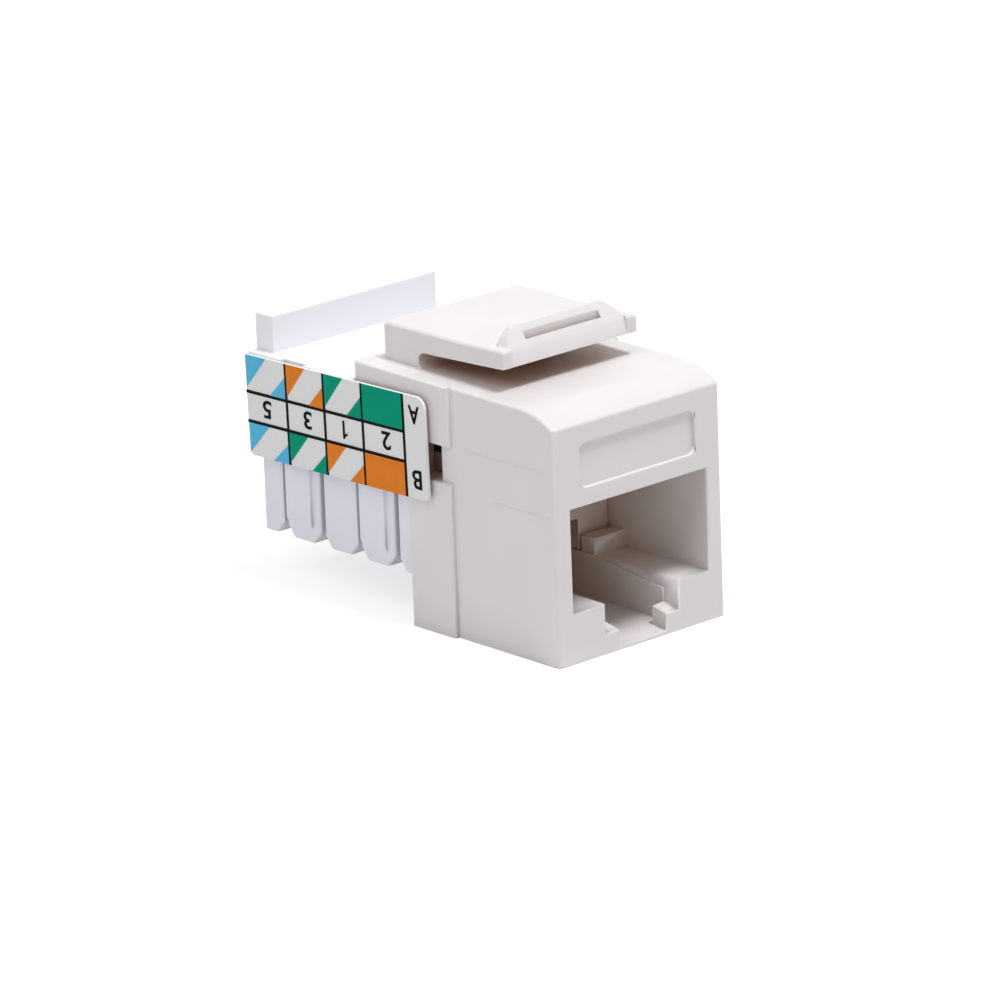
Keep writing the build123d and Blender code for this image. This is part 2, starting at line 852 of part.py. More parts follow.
os.makedirs("parts", exist_ok=True)
for node, shape in build_all().items():
    export_step(shape, f"parts/{node}.step")
    print(node, len(shape.solids()), round(shape.volume, 3))
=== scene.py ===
# %% [markdown]
# A keystone jack is the small snap-in socket behind a network wall plate. Its solids come from
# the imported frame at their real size, in metres, so this lesson never scales or moves them. It
# gives them their finishes, rounds their edges as a mould does, and adds what a solid model
# leaves out: the springy wires, the print, the mould's marks.

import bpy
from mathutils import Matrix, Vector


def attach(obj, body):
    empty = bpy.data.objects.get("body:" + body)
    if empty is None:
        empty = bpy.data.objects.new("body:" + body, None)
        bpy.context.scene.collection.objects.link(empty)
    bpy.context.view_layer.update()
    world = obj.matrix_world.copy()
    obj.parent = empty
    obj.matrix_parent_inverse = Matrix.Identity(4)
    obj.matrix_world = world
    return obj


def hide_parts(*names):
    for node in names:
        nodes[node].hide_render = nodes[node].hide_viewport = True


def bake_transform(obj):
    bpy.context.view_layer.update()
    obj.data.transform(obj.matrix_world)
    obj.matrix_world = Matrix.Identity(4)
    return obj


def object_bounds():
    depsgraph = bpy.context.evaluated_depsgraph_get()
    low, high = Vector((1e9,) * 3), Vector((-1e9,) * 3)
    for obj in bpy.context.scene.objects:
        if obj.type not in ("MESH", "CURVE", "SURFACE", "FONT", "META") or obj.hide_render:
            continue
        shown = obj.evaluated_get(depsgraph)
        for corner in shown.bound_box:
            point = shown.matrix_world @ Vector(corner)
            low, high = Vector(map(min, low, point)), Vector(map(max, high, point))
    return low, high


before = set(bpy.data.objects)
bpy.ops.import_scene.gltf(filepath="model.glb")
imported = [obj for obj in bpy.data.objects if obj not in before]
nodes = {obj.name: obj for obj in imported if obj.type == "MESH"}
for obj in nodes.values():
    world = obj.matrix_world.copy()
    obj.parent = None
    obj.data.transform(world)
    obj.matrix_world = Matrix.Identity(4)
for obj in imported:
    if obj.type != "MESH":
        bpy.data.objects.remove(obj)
cad_low, cad_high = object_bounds()
print("solids:", len(nodes), "overall mm:", [round(v * 1000, 2) for v in cad_high - cad_low])

# %% [markdown]
# The photographer stood to the left of the jack and a little above it, far away with a long
# lens, which keeps the edges nearly parallel. A camera could be placed by eye, but here its turn,
# rise, roll and lens were measured from the jack's straight edges, so shapes can be compared
# with the photograph place by place. The three axes are worked out first, because a roll is hard
# to set with angles alone.

# %% Camera
import math

import bpy
from mathutils import Matrix, Vector

MM = 0.001
view_turn = math.radians(-41.797)
view_rise = math.radians(17.498)
view_roll = math.radians(-2.147)
view_distance = 456.07 * MM
look_at = Vector((0, 12, 8)) * MM
aim_right = 0.957 * MM
aim_up = 0.79 * MM
sensor_width = 36.0
lens_in_sensor_widths = 6.9332
lens = lens_in_sensor_widths * sensor_width

back = Vector((math.sin(view_turn) * math.cos(view_rise),
               -math.cos(view_turn) * math.cos(view_rise),
               math.sin(view_rise)))
level_right = Vector((0, 0, 1)).cross(back).normalized()
level_up = back.cross(level_right)
right = math.cos(view_roll) * level_right + math.sin(view_roll) * level_up
up = math.cos(view_roll) * level_up - math.sin(view_roll) * level_right

camera_data = bpy.data.cameras.new("camera")
camera_data.sensor_width = sensor_width
camera_data.lens = lens
camera_data.clip_start = 0.01
camera_data.clip_end = 20
camera = bpy.data.objects.new("camera", camera_data)
bpy.context.scene.collection.objects.link(camera)
place = look_at - aim_right * right - aim_up * up + view_distance * back
turn = Matrix((right, up, back)).transposed().to_4x4()
camera.matrix_world = Matrix.Translation(place) @ turn
bpy.context.scene.camera = camera
print("camera at mm:", [round(v / MM, 1) for v in place])

# %% [markdown]
# Pale plastic shows its shape by soft differences between its sides, so the light is a bright
# even tent, made with the world, and one overhead softbox that is small enough to give the latch
# a shadow with a clear edge. It leans forward, so that it also reaches the floor just inside the
# port. A wide, weak one lifts the roundings that lean to the left. More lamps would flatten the
# part. The world counts as pure white where the camera or a reflection sees it, and is dimmer as
# a light.

# %% Light
bpy.context.scene.view_settings.view_transform = "Standard"
tent_strength = 0.37


def seen_or_mirrored(tree):
    """Output that is 1 for the camera, a reflection or a clear piece, and 0 for plain light."""
    path = tree.nodes.new("ShaderNodeLightPath")
    mirrored = tree.nodes.new("ShaderNodeMath")
    mirrored.operation = "MAXIMUM"
    tree.links.new(path.outputs["Is Glossy Ray"], mirrored.inputs[0])
    tree.links.new(path.outputs["Is Transmission Ray"], mirrored.inputs[1])
    seen = tree.nodes.new("ShaderNodeMath")
    seen.operation = "MAXIMUM"
    tree.links.new(path.outputs["Is Camera Ray"], seen.inputs[0])
    tree.links.new(mirrored.outputs[0], seen.inputs[1])
    return seen.outputs[0]


world = bpy.data.worlds.new("tent")
bpy.context.scene.world = world
world.use_nodes = True
tent = world.node_tree
tent_light = tent.nodes["Background"]
tent_light.inputs["Color"].default_value = (1, 1, 1, 1)
tent_light.inputs["Strength"].default_value = tent_strength
tent_white = tent.nodes.new("ShaderNodeBackground")
tent_white.inputs["Color"].default_value = (1, 1, 1, 1)
tent_white.inputs["Strength"].default_value = 1.0
choice = tent.nodes.new("ShaderNodeMixShader")
tent.links.new(seen_or_mirrored(tent), choice.inputs["Fac"])
tent.links.new(tent_light.outputs[0], choice.inputs[1])
tent.links.new(tent_white.outputs[0], choice.inputs[2])
tent.links.new(choice.outputs[0], tent.nodes["World Output"].inputs["Surface"])


def softbox(name, direction, distance, size, watts):
    """Square lamp that looks at the jack from a direction."""
    data = bpy.data.lights.new(name, "AREA")
    data.shape = "SQUARE"
    data.size = size
    data.energy = watts
    lamp = bpy.data.objects.new(name, data)
    bpy.context.scene.collection.objects.link(lamp)
    towards = Vector(direction).normalized()
    lamp.location = look_at + towards * distance
    lamp.rotation_euler = towards.to_track_quat("Z", "Y").to_euler()
    return lamp


softbox("overhead_softbox", direction=(0.1, -0.27, 1), distance=0.4, size=0.1, watts=1.07)
softbox("left_softbox", direction=(-1, -0.1, 1.1), distance=0.5, size=0.3, watts=0.52)

# %% [markdown]
# The jack stands on a white table. A plain plane is enough, large enough to reach past the
# camera's view. Seen by the camera or in a reflection it glows a little, which lifts it to the
# white of the photograph without more light on the jack, and its own shading keeps the shadow.

# %% Floor
floor_reach = 3.0
floor_white = 0.76
floor_glow = 0.6
floor_gap = 0.01 * MM
floor_z = cad_low.z - floor_gap
floor_mesh = bpy.data.meshes.new("floor")
corners = [(-floor_reach, -floor_reach), (floor_reach, -floor_reach),
           (floor_reach, floor_reach), (-floor_reach, floor_reach)]
floor_mesh.from_pydata([(x, y, floor_z) for x, y in corners], [], [(0, 1, 2, 3)])
floor = bpy.data.objects.new("floor", floor_mesh)
bpy.context.scene.collection.objects.link(floor)
floor_finish = bpy.data.materials.new("white_table")
floor_finish.use_nodes = True
table = floor_finish.node_tree
table.nodes.remove(table.nodes["Principled BSDF"])
matt = table.nodes.new("ShaderNodeBsdfDiffuse")
matt.inputs["Color"].default_value = (floor_white, floor_white, floor_white, 1)
glow = table.nodes.new("ShaderNodeEmission")
glow_level = table.nodes.new("ShaderNodeMath")
glow_level.operation = "MULTIPLY"
glow_level.inputs[1].default_value = floor_glow
table.links.new(seen_or_mirrored(table), glow_level.inputs[0])
table.links.new(glow_level.outputs[0], glow.inputs["Strength"])
both = table.nodes.new("ShaderNodeAddShader")
table.links.new(matt.outputs[0], both.inputs[0])
table.links.new(glow.outputs[0], both.inputs[1])
table.links.new(both.outputs[0], table.nodes["Material Output"].inputs["Surface"])
floor_mesh.materials.append(floor_finish)
print("floor height mm:", round(floor_z / MM, 3))

# %% [markdown]
# Every finish below is built the same way: a principled shader whose colour, roughness and
# surface relief are disturbed by noise at the scale of the real thing. Painted images could do
# it too, but they need an unwrapped mesh and blur close up. A helper makes a noise field in the
# jack's own metres, so a scale of 200 gives blotches of about five millimetres on any piece,
# whatever its size. The plain colour is set as well, for a viewer that can't read the noise.

# %% Finish helpers


def finish(name, colour, roughness, specular=0.5, metallic=0.0):
    """New material of one plain colour; returns it with its node tree and its shader."""
    material = bpy.data.materials.new(name)
    material.use_nodes = True
    shader = material.node_tree.nodes["Principled BSDF"]
    shader.inputs["Base Color"].default_value = (*colour, 1)
    shader.inputs["Roughness"].default_value = roughness
    shader.inputs["Specular IOR Level"].default_value = specular
    shader.inputs["Metallic"].default_value = metallic
    return material, material.node_tree, shader


def noise(tree, scale, detail=2.0):
    """Noise in object metres; returns the output that runs from 0 to 1."""
    where = tree.nodes.new("ShaderNodeTexCoord")
    field = tree.nodes.new("ShaderNodeTexNoise")
    field.inputs["Scale"].default_value = scale
    field.inputs["Detail"].default_value = detail
    tree.links.new(where.outputs["Object"], field.inputs["Vector"])
    return field.outputs["Fac"]


def spread(tree, value, low, high, low_in=0.3, high_in=0.7):
    """Stretches a noise value to a range."""
    ramp = tree.nodes.new("ShaderNodeMapRange")
    ramp.inputs["From Min"].default_value = low_in
    ramp.inputs["From Max"].default_value = high_in
    ramp.inputs["To Min"].default_value = low
    ramp.inputs["To Max"].default_value = high
    tree.links.new(value, ramp.inputs["Value"])
    return ramp.outputs["Result"]


def between(tree, value, first, second):
    """Mix of two colours, each plain or another node's output; returns the mixed colour."""
    mix = tree.nodes.new("ShaderNodeMix")
    mix.data_type = "RGBA"
    tree.links.new(value, mix.inputs["Factor"])
    for socket, colour in (("A", first), ("B", second)):
        if isinstance(colour, tuple):
            mix.inputs[socket].default_value = (*colour, 1)
        else:
            tree.links.new(colour, mix.inputs[socket])
    return mix.outputs["Result"]


def relief(tree, shader, fields):
    """Surface relief from noise heights in metres, chained from broad to fine."""
    normal = None
    for value, height in fields:
        bump = tree.nodes.new("ShaderNodeBump")
        bump.inputs["Strength"].default_value = 1.0
        bump.inputs["Distance"].default_value = height
        tree.links.new(value, bump.inputs["Height"])
        if normal is not None:
            tree.links.new(normal, bump.inputs["Normal"])
        normal = bump.outputs["Normal"]
    tree.links.new(normal, shader.inputs["Normal"])


print("finish helpers ready")

# %% [markdown]
# The front housing and the rear block are moulded in two batches of plastic. The front is a warm
# light grey and the rear a cooler white, which shows most where the two meet. Both are satin, let
# a little light in below the surface, and have faint broad waves where the plastic shrank over
# its ribs. A single flat colour would look like paint. In a deep corner light comes back only
# after several bounces and each bounce takes some blue from it, so a painted shade, warmer and
# darker, is mixed into the colour there and on the top under the latch, found with an occlusion
# value at the size of the port.

# %% Moulded plastics
painted_shade_reach = 8 * MM
painted_shade_full = 0.04
painted_shade_none = 0.46
gloss_swing = 0.05
shrink_height = 0.05 * MM
grain_height = 0.0012 * MM


def moulded_plastic(name, light, dark, painted_shade, roughness):
    """Satin moulded plastic with faint blotches, shrink waves, a fine spark-worn grain and painted shade in
    its hollows.
    """
    material, tree, shader = finish(name, light, roughness)
    blotches = between(tree, spread(tree, noise(tree, scale=220, detail=3), 0, 1), light, dark)
    # Painted shade: where the occlusion value finds the surface hidden, the colour turns darker and warmer.
    depth = tree.nodes.new("ShaderNodeAmbientOcclusion")
    depth.inputs["Distance"].default_value = painted_shade_reach
    depth.samples = 8
    in_open = spread(tree, depth.outputs["AO"], 0, 1, low_in=painted_shade_full, high_in=painted_shade_none)
    tree.links.new(between(tree, in_open, painted_shade, blotches), shader.inputs["Base Color"])
    gloss_field = noise(tree, scale=900, detail=3)
    gloss = spread(tree, gloss_field, roughness - gloss_swing, roughness + gloss_swing)
    tree.links.new(gloss, shader.inputs["Roughness"])
    shrink_waves = noise(tree, scale=160, detail=1)
    grain = noise(tree, scale=7000, detail=2)
    relief(tree, shader, [(shrink_waves, shrink_height), (grain, grain_height)])
    shader.inputs["Subsurface Weight"].default_value = 0.12
    shader.inputs["Subsurface Radius"].default_value = (1.0, 0.85, 0.75)
    shader.inputs["Subsurface Scale"].default_value = 0.4 * MM
    return material


# Each plastic's third colour is its painted shade, used in hollows and under the latch.
warm_plastic = moulded_plastic(
    "warm_grey_plastic",
    light=(0.79, 0.758, 0.768), dark=(0.765, 0.733, 0.74), painted_shade=(0.55, 0.38, 0.29), roughness=0.38,
)
cool_plastic = moulded_plastic(
    "cool_white_plastic",
    light=(0.83, 0.83, 0.91), dark=(0.81, 0.81, 0.89), painted_shade=(0.66, 0.63, 0.66), roughness=0.36,
)
cover_plastic = moulded_plastic(
    "cover_white_plastic",
    light=(0.895, 0.895, 0.94), dark=(0.88, 0.88, 0.925), painted_shade=(0.66, 0.63, 0.66), roughness=0.36,
)
carrier_plastic = moulded_plastic(
    "carrier_plastic",
    light=(0.74, 0.68, 0.64), dark=(0.70, 0.64, 0.59), painted_shade=(0.48, 0.33, 0.25), roughness=0.42,
)
print("plastics:", warm_plastic.name, cool_plastic.name, cover_plastic.name, carrier_plastic.name)

# %% [markdown]
# A moulded corner is never sharp, because the tool is cut with a round cutter and the melt
# would not fill a sharp one. One bevel of the same width everywhere would tear the mesh where
# two edges lie close together, and a bevel that holds back for the tightest place would leave
# the whole piece sharp. So each outer edge first finds out how much room its faces give it. A
# face's outline is split at its corners into runs, and an edge may take nearly half of the way to
# any other run. Inner corners stay as the solids have them.

# %% Room beside an edge
import bmesh
from mathutils.geometry import intersect_point_line

corner_turn = math.radians(30)
room_share = 0.45


def outline_runs(face):
    """The edges of a face's outline, grouped into runs between its corners."""
    loops = list(face.loops)
    starts = []
    for i, loop in enumerate(loops):
        came = loop.vert.co - loop.link_loop_prev.vert.co
        goes = loop.link_loop_next.vert.co - loop.vert.co
        if came.angle(goes, 0) > corner_turn:
            starts.append(i)
    if not starts:
        return [loops]
    loops = loops[starts[0]:] + loops[:starts[0]]
    cuts = [start - starts[0] for start in starts] + [len(loops)]
    return [loops[first:last] for first, last in zip(cuts, cuts[1:])]


def gap_between(first, second):
    """Distance between two edges of one flat face."""
    gap = math.inf
    for edge, other in ((first, second), (second, first)):
        start, end = (vert.co for vert in other.verts)
        for vert in edge.verts:
            foot, share = intersect_point_line(vert.co, start, end)
            foot = start.lerp(end, min(1, max(0, share)))
            gap = min(gap, (foot - vert.co).length)
    return gap


def note_room(face, room):
    """Lowers each edge's room to what this face leaves it."""
    runs = outline_runs(face)
    for i, run in enumerate(runs):
        for j, other in enumerate(runs):
            if j == i:
                continue
            beside = (j - i) % len(runs) in (1, len(runs) - 1)
            for loop in run:
                if beside:
                    way = other[-1].link_loop_next.vert.co - other[0].vert.co
                    along = loop.link_loop_next.vert.co - loop.vert.co
                    gap = way.length * math.sin(way.angle(along, 0))
                else:
                    gap = min(gap_between(loop.edge, item.edge) for item in other)
                room[loop.edge] = min(room[loop.edge], gap * room_share)


print(f"an edge takes at most {room_share:.0%} of the room beside it")

# %% [markdown]
# The edges in a zone that the hand or eye meets get their share of the piece's radius, and a
# bevel rounds them. It reads each edge's share from the mesh, so one modifier serves broad and
# narrow places alike. Normals weighted by area keep the flats flat to the eye. A bevel on outer
# edges only takes material away, so no piece grows into its neighbour.

# %% Round the edges of a piece
sharp_turn = math.radians(35)
least_radius = 0.015 * MM


def round_edges(work, width, zone):
    """Gives each sharp outer edge in a zone, (low corner, high corner) in mm, its share of a width."""
    low, high = (Vector(corner) * MM for corner in zone)
    share = work.edges.layers.float.new("bevel_weight_edge")
    room = {edge: width for edge in work.edges}
    for face in work.faces:
        face.smooth = True
        note_room(face, room)
    for edge in work.edges:
        sharp = edge.is_manifold and edge.calc_face_angle(0) > sharp_turn
        inside = all(low[k] < vert.co[k] < high[k] for vert in edge.verts for k in range(3))
        rounded = sharp and inside and edge.is_convex and room[edge] > least_radius
        edge[share] = room[edge] / width if rounded else 0
        edge.smooth = rounded or not sharp


def bevelled(name, work, material, width, zone, segments=3):
    """Object from a bmesh, with its edges rounded by their share of a width."""
    round_edges(work, width, zone)
    mesh = bpy.data.meshes.new(name)
    work.to_mesh(mesh)
    work.free()
    mesh.materials.append(material)
    piece = bpy.data.objects.new(name, mesh)
    bpy.context.scene.collection.objects.link(piece)
    bevel = piece.modifiers.new("mould_radius", "BEVEL")
    bevel.width = width
    bevel.segments = segments
    bevel.limit_method = "WEIGHT"
    bevel.use_clamp_overlap = False
    shading = piece.modifiers.new("even_shading", "WEIGHTED_NORMAL")
    shading.keep_sharp = True
    return piece


print("smallest radius mm:", round(least_radius / MM, 3))

# %% [markdown]
# The moulded pieces are copies of the solids' own meshes, whose flats are cut into triangles. A
# bevel needs each flat as one face, or as few as its openings allow. The triangles are merged up
# to a seam in the middle of the jack, because a flat round an opening would otherwise be closed
# by a stray edge from corner to corner. Remeshing would be shorter, but it softens every corner.

# %% Clean meshes
seen_as_flat = math.radians(0.5)
same_place = 0.001 * MM


def merge_flats(work):
    """Merges the triangles of each flat, but keeps the seams."""
    bmesh.ops.dissolve_limit(
        work, angle_limit=seen_as_flat, verts=work.verts, edges=work.edges, delimit={"SEAM"}
    )


def mesh_of(node):
    """A solid's mesh as a bmesh, with the triangles of each flat merged up to its middle."""
    work = bmesh.new()
    work.from_mesh(nodes[node].data)
    bmesh.ops.remove_doubles(work, verts=work.verts, dist=same_place)
    everything = work.verts[:] + work.edges[:] + work.faces[:]
    middle = bmesh.ops.bisect_plane(work, geom=everything, plane_co=(0, 0, 0), plane_no=(1, 0, 0))
    for item in middle["geom_cut"]:
        if isinstance(item, bmesh.types.BMEdge):
            item.seam = True
    merge_flats(work)
    return work


print("corners merged within mm:", round(same_place / MM, 4))

# %% [markdown]
# Besides the latch, four pieces of the jack are moulded: the housing, the insert that carries
# the contacts, the block of posts and its cover. They could be modelled again by hand, but copies
# keep the solids' exact size. Each gets its plastic, its radius and the zone where its edges are
# rounded. The housing is rounded only round the openings of its front, where the hand and the
# plug wear it, and its large roundings are in the solid already. The cover's foot is left as the
# solid has it, because a bevel pulls its lower corners out of shape.

# %% Dress the moulded pieces
everywhere = ((-9, -1, -1), (9, 30, 22))
front_opening = ((-6.2, -0.1, 0.1), (6.2, 13, 14.8))
below_foot = ((-9, -1, -1), (9, 26.5, 15.8))
moulded = {
    "front_housing": ("housing_shell", warm_plastic, 0.12, front_opening),
    "contact_carrier": ("carrier_shell", carrier_plastic, 0.06, everywhere),
    "idc_block": ("post_block", cool_plastic, 0.16, everywhere),
    "rear_cover": ("cover_shell", cover_plastic, 0.06, below_foot),
}
for node, (name, material, radius, zone) in moulded.items():
    shell = bevelled(name, mesh_of(node), material, radius * MM, zone)
    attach(shell, "root")
    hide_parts(node)
    print(name, "faces before its bevel:", len(shell.data.polygons))

# %% [markdown]
# Where two inserts of the mould met, a hair of plastic was pressed into the joint and left fine
# raised lines along each side. A bump map could draw them, but a thin wedge of real mesh also
# catches the light at the edge of the part. A wedge is a tube of three-sided rings, so the helper
# that closes a tube comes here, and the wires use it again.

# %% Mould lines
body_side = 7.38 * MM
line_half_height = 0.035 * MM
line_proud = 0.014 * MM
rise_length = 0.4
fade_length = 1.5
root_share = -0.01
line_runs = ((13.0, 0.5, 8.6), (10.05, 0.4, 6.4))


def tube_faces(rings, count, first):
    """Faces of a closed tube made of rings of points, the first of which has a given number."""
    faces = []
    for i in range(rings - 1):
        near = first + i * count
        far = near + count
        for j in range(count):
            k = (j + 1) % count
            faces.append((near + j, near + k, far + k, far + j))
    last = first + (rings - 1) * count
    faces.append(tuple(range(first, first + count)))
    faces.append(tuple(reversed(range(last, last + count))))
    return faces


def mould_lines():
    """Thin wedges along both sides, each a run of (height, front end, rear end) in mm."""
    points, faces = [], []
    for side in (-1, 1):
        for z, front, rear in line_runs:
            first = len(points)
            stations = ((front, 0.2), (front + rise_length, 1), (rear - fade_length, 1), (rear, 0.1))
            for y, share in stations:
                for out, rise in ((root_share, -1), (share, 0), (root_share, 1)):
                    x = side * (body_side + line_proud * out)
                    points.append((x, y * MM, z * MM + line_half_height * rise))
            faces += tube_faces(len(stations), 3, first)
    return points, faces


def solid_from(name, points, faces, material):
    """Object from points and faces, with its normals turned outwards."""
    mesh = bpy.data.meshes.new(name)
    mesh.from_pydata(points, [], faces)
    work = bmesh.new()
    work.from_mesh(mesh)
    bmesh.ops.recalc_face_normals(work, faces=work.faces)
    work.to_mesh(mesh)
    work.free()
    mesh.materials.append(material)
    thing = bpy.data.objects.new(name, mesh)
    bpy.context.scene.collection.objects.link(thing)
    return thing


lines = solid_from("mould_lines", *mould_lines(), warm_plastic)
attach(lines, "root")
print("mould lines:", 2 * len(line_runs))

# %% [markdown]
# The blades are stamped from tinned bronze and the contacts are gold over nickel. Both are
# metals, so their colour is that of their reflection. The blades are left dull by the tinning
# bath, the contacts are bright. A perfect mirror would look drawn, so noise breaks up the gloss.
# The board is glass and resin below a green lacquer, painted nearly black so that where it shows
# through the window behind the label it reads as painted shade. These solids have the right shape
# already, so they stay and only get a material.

# %% Metals and board
contact_count = 8
streak_height = 0.002 * MM
brighter = 0.08
duller = 0.1


def wear(node, material):
    """Puts a material on every slot of a solid."""
    mesh = nodes[node].data
    mesh.materials.clear()
    mesh.materials.append(material)


def plated_metal(name, colour, roughness):
    """Plated metal with slight streaks in its gloss."""
    material, tree, shader = finish(name, colour, roughness, metallic=1.0)
    streaks = noise(tree, scale=2500, detail=4)
    gloss = spread(tree, streaks, roughness - brighter, roughness + duller)
    tree.links.new(gloss, shader.inputs["Roughness"])
    relief(tree, shader, [(noise(tree, scale=3000, detail=2), streak_height)])
    return material


def lacquer(name, colour, dark, light):
    """Glossy lacquer whose depth varies a little."""
    material, tree, shader = finish(name, colour, roughness=0.3)
    shader.inputs["Coat Weight"].default_value = 0.4
    depth = spread(tree, noise(tree, scale=500, detail=3), 0, 1)
    tree.links.new(between(tree, depth, dark, light), shader.inputs["Base Color"])
    return material


contact_gold = plated_metal("contact_gold", colour=(0.90, 0.66, 0.30), roughness=0.22)
blade_tin = plated_metal("blade_tin", colour=(0.72, 0.71, 0.69), roughness=0.34)
# Painted shade: the board's green is darkened nearly to black, so it reads as shade in the window behind
# the label.
shaded_board_lacquer = lacquer(
    "shaded_board_lacquer", colour=(0.01, 0.026, 0.014), dark=(0.008, 0.022, 0.012), light=(0.012, 0.03, 0.016)
)
wear("circuit_board", shaded_board_lacquer)
wear("contact_leads", contact_gold)
for number in range(1, contact_count + 1):
    wear("contact_finger_" + str(number), contact_gold)
    wear("idc_blade_" + str(number), blade_tin)
print("metals:", contact_gold.name, blade_tin.name, "board:", shaded_board_lacquer.name)

# %% [markdown]
# The wiring labels are stiff pale card with a matt film, and the colours are inks with a slight
# mottle. A picture of the label could be laid on the card, but each colour of ink is one thin
# skin of its own in the solids, so it only needs a material. The colours follow the usual pairs
# of network cable: blue, orange, green, brown.

# %% Label and inks


def ink(name, colour, shade):
    """Printed ink with a little mottle."""
    material, tree, shader = finish(name, colour, roughness=0.6, specular=0.04)
    darker = tuple(value * shade for value in colour)
    mottle = spread(tree, noise(tree, scale=1500, detail=4), 0, 1)
    tree.links.new(between(tree, mottle, colour, darker), shader.inputs["Base Color"])
    return material


label_card = ink("label_card", (0.85, 0.85, 0.855), shade=0.985)
wear("label_left", label_card)
wear("label_right", label_card)
inks = {
    "blue": (0.12, 0.55, 0.84),
    "orange": (0.86, 0.245, 0.03),
    "green": (0.002, 0.34, 0.215),
    "brown": (0.22, 0.09, 0.04),
    "black": (0.004, 0.004, 0.0045),
}
for colour, value in inks.items():
    wear("print_" + colour, ink("ink_" + colour, value, shade=0.93))
print("inks:", ", ".join(inks))

# %% [markdown]
# The labels number the wires in a plain sans typeface. A decal would be quicker, but a text
# curve that is turned into a thin solid stays sharp at any distance. Each figure is brought to
# the height and width that it has on the label. The typeface's one has no flag, so that figure
# is drawn from a listed outline.

# %% Figure shapes
figure_heights = {"A": 1.22, "B": 1.28}
figure_widths = {"A": 0.86, "B": 1.0, "5": 1.2, "3": 1.22}
digit_height = 1.23
digit_width = 1.12


def one_with_flag(height):
    """The figure one, whose flag the plain typeface lacks."""
    outline = [(0.36, 0), (0.36, 1), (0.25, 1), (0.17, 0.87), (0, 0.78), (0, 0.66), (0.21, 0.74), (0.21, 0)]
    middle_x, middle_y = 0.2, 0.5
    count = len(outline)
    points = []
    for side in (-0.5, 0.5):
        points += [Vector((x - middle_x, y - middle_y, side)) * height for x, y in outline]
    faces = [tuple(reversed(range(count))), tuple(range(count, 2 * count))]
    for i in range(count):
        k = (i + 1) % count
        faces.append((i, k, count + k, count + i))
    return points, faces


def figure_mesh(text, height):
    """Flat figure of a height, centred on the origin, as faces in its own plane."""
    if text == "1":
        return one_with_flag(height)
    curve = bpy.data.curves.new("figure", "FONT")
    curve.body = text
    curve.size = 1.0
    curve.offset = 0.012
    curve.resolution_u = 4
    curve.extrude = 0.5
    holder = bpy.data.objects.new("figure", curve)
    mesh = bpy.data.meshes.new_from_object(holder)
    xs = [v.co.x for v in mesh.vertices]
    ys = [v.co.y for v in mesh.vertices]
    scale = height / (max(ys) - min(ys))
    middle = Vector(((max(xs) + min(xs)) / 2, (max(ys) + min(ys)) / 2, 0))
    points = [(v.co - middle) * scale for v in mesh.vertices]
    for point in points:
        point.x *= figure_widths.get(text, digit_width)
    faces = [tuple(p.vertices) for p in mesh.polygons]
    bpy.data.objects.remove(holder)
    bpy.data.meshes.remove(mesh)
    bpy.data.curves.remove(curve)
    return points, faces


print("figure height mm:", digit_height)

# %% [markdown]
# The figures stand on their heads, because an installer reads them with the jack upside down in
# the hand. They are laid on the card with the same small tilt at which the card was stuck on.
# All figures of one label are one thin mesh, because they never part from it.

# %% Figures on the labels
label_middle = Vector((0, 20.225, 12.446)) * MM
label_tilt = Matrix.Rotation(math.radians(-1.2), 4, "X")
figure_rows = {"numbers": 12.41, "A": 14.66, "B": 10.28}
figure_places = {-1: (("5", 27.12), ("3", 23.01), ("1", 19.29), ("2", 15.18)),
                 1: (("4", 27.12), ("6", 23.01), ("8", 19.29), ("7", 15.18))}
letter_y = 12.33
print_face = 8.2 * MM
figure_relief = 0.036 * MM


def lay_figures(side):
    """All figures of one label as one thin mesh."""
    points, faces = [], []
    jobs = [(text, y, figure_rows["numbers"]) for text, y in figure_places[side]]
    jobs += [(text, letter_y, figure_rows[text]) for text in ("A", "B")]
    for text, y, z in jobs:
        flat, loops = figure_mesh(text, figure_heights.get(text, digit_height) * MM)
        first = len(points)
        depth = max(p.z for p in flat)
        for p in flat:
            out = print_face + figure_relief * (0.5 + 0.5 * p.z / depth)
            place = Vector((side * out, y * MM - side * p.x, z * MM - p.y))
            points.append(label_middle + label_tilt @ (place - label_middle))
        faces += [tuple(first + i for i in loop) for loop in loops]
    mesh = bpy.data.meshes.new("figures")
    mesh.from_pydata(points, [], faces)
    figures = bpy.data.objects.new("figures_left" if side < 0 else "figures_right", mesh)
    bpy.context.scene.collection.objects.link(figures)
    mesh.materials.append(bpy.data.materials["ink_black"])
    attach(figures, "root")
    return figures


for side in (-1, 1):
    figures = lay_figures(side)
    print(figures.name, "faces:", len(figures.data.polygons))

# %% [markdown]
# A contact is a flat wire with slightly rounded edges, bent in a few places. A curve with a
# bevel would make it too, with less say over how its section turns. All bends of this wire lie in
# the side view, so the path is drawn there, its corners are replaced with arcs, and a ring of
# eight points is set square to it at every step.

# %% A wire along a path
wire_width = 0.4 * MM
wire_thickness = 0.3 * MM
wire_edge_round = 0.06 * MM
arc_steps = 8


def rounded_path(corners, radius):
    """Polyline in the side view whose inner corners are replaced with arcs."""
    path = [Vector(corners[0])]
    for before, corner, after in zip(corners, corners[1:], corners[2:]):
        corner = Vector(corner)
        into = (Vector(before) - corner).normalized()
        away = (Vector(after) - corner).normalized()
        half = into.angle(away) / 2
        middle = corner + (into + away).normalized() * radius / math.sin(half)
        first = corner + into * radius / math.tan(half) - middle
        last = corner + away * radius / math.tan(half) - middle
        turn_angle = first.angle_signed(last)
        for step in range(arc_steps + 1):
            arm = first.copy()
            arm.rotate(Matrix.Rotation(-turn_angle * step / arc_steps, 2))
            path.append(middle + arm)
    path.append(Vector(corners[-1]))
    return path


